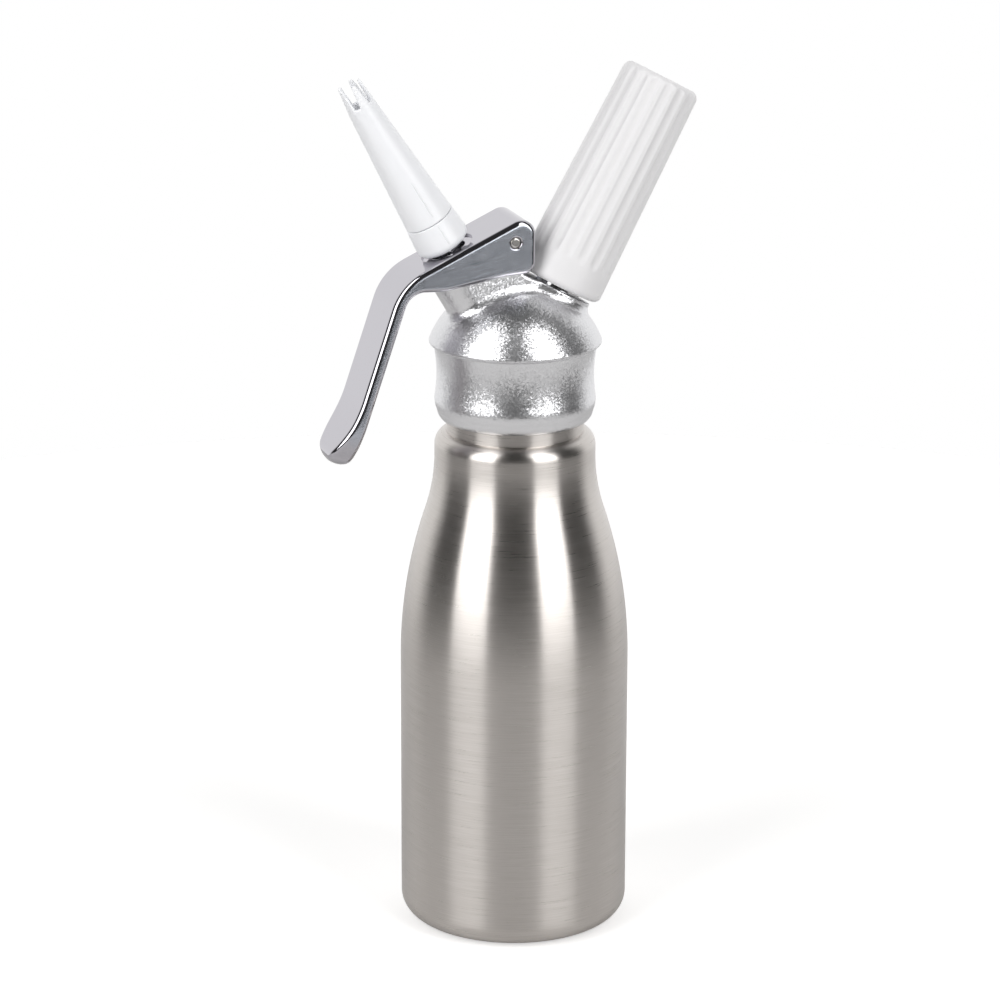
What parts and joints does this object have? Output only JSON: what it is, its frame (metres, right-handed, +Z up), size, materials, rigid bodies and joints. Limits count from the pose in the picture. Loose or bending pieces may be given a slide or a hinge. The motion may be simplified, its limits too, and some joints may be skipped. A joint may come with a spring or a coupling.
{
  "type": "whipped cream dispenser",
  "caption": "Stand-up cream dispenser: brushed steel bottle, screw-on cast head with a squeeze lever, tilted slotted nozzle and screw-on gas charger holder.",
  "frame": {"origin": "centre of the flat base that the bottle stands on", "axes": "+Z up along the bottle's axis; the lever and the nozzle lean towards -X, the charger holder leans towards +X; the X-Z plane is the plane of symmetry of the outer shape"},
  "size_m": [0.1349, 0.08, 0.3053],
  "materials": {
    "brushed_stainless": "fine brushed",
    "machined_stainless": "machined",
    "blasted_aluminium": "bead blasted satin",
    "turned_aluminium": "turned",
    "polished_steel": "polished",
    "bright_steel": "bright plated",
    "spring_steel": "drawn wire",
    "brass_bush": "turned",
    "white_satin_plastic": "satin moulded",
    "white_matte_plastic": "fine matte moulded",
    "white_silicone": "soft moulded",
    "black_rubber": "soft moulded",
    "charger_steel": "bright drawn"
  },
  "bodies": {
    "bottle": {"bottle": "brushed_stainless", "neck_ring": "machined_stainless"},
    "head_seal": {"head_gasket": "white_silicone"},
    "head": {"head": "blasted_aluminium", "lever_pin": "machined_stainless", "guide_bush": "brass_bush", "stem_ring": "black_rubber", "spring_washer": "machined_stainless", "valve_spring": "spring_steel", "stub_washer": "turned_aluminium", "check_valve": "black_rubber", "inlet_screw": "machined_stainless", "charger_stub": "bright_steel", "piercing_pin": "machined_stainless", "pin_gasket": "black_rubber"},
    "lever": {"lever": "polished_steel"},
    "valve": {"valve_stem": "machined_stainless", "stem_seal": "black_rubber", "stem_collar": "bright_steel", "nozzle_adapter": "white_satin_plastic"},
    "nozzle_seal": {"nozzle_ring": "black_rubber"},
    "nozzle": {"decorator_nozzle": "white_satin_plastic"},
    "charger": {"gas_charger": "charger_steel", "charger_cap": "charger_steel"},
    "holder": {"charger_holder": "white_matte_plastic", "holder_insert": "turned_aluminium", "holder_pad": "black_rubber"}
  },
  "joints": [
    {"name": "head_lift", "type": "slide", "parent": "bottle", "child": "head_seal", "axis": [0, 0, 1], "range_m": [0, 0.02402]},
    {"name": "head_turn", "type": "hinge", "parent": "head_seal", "child": "head", "pos_m": [0, 0, 0.195], "axis": [0, 0, 1], "range_deg": [0, 2160]},
    {"name": "lever_squeeze", "type": "hinge", "parent": "head", "child": "lever", "pos_m": [-0.004, 0, 0.2475], "axis": [0, -1, 0], "range_deg": [0, 10], "stiffness_Nm_per_rad": 1.1, "springref_deg": -20.05},
    {"name": "valve_travel", "type": "slide", "parent": "head", "child": "valve", "axis": [0.5098, 0, -0.8603], "range_m": [0, 0.0034], "deforming": ["valve_spring"]},
    {"name": "nozzle_lift", "type": "slide", "parent": "valve", "child": "nozzle_seal", "axis": [-0.5098, 0, 0.8603], "range_m": [0, 0.00801]},
    {"name": "nozzle_turn", "type": "hinge", "parent": "nozzle_seal", "child": "nozzle", "pos_m": [0, 0, 0.2028], "axis": [-0.5098, 0, 0.8603], "range_deg": [0, 1440]},
    {"name": "holder_lift", "type": "slide", "parent": "head", "child": "charger", "axis": [0.4761, 0, 0.8794], "range_m": [0, 0.01602]},
    {"name": "holder_turn", "type": "hinge", "parent": "charger", "child": "holder", "pos_m": [0, 0, 0.2006], "axis": [0.4761, 0, 0.8794], "range_deg": [0, 2880]}
  ],
  "couplings": [
    {"joint": "head_lift", "follows": "head_turn", "m_per_rad": 0.00063662},
    {"joint": "valve_travel", "follows": "lever_squeeze", "m_per_rad": 0.01935},
    {"joint": "nozzle_lift", "follows": "nozzle_turn", "m_per_rad": 0.00031831},
    {"joint": "holder_lift", "follows": "holder_turn", "m_per_rad": 0.00031831}
  ]
}
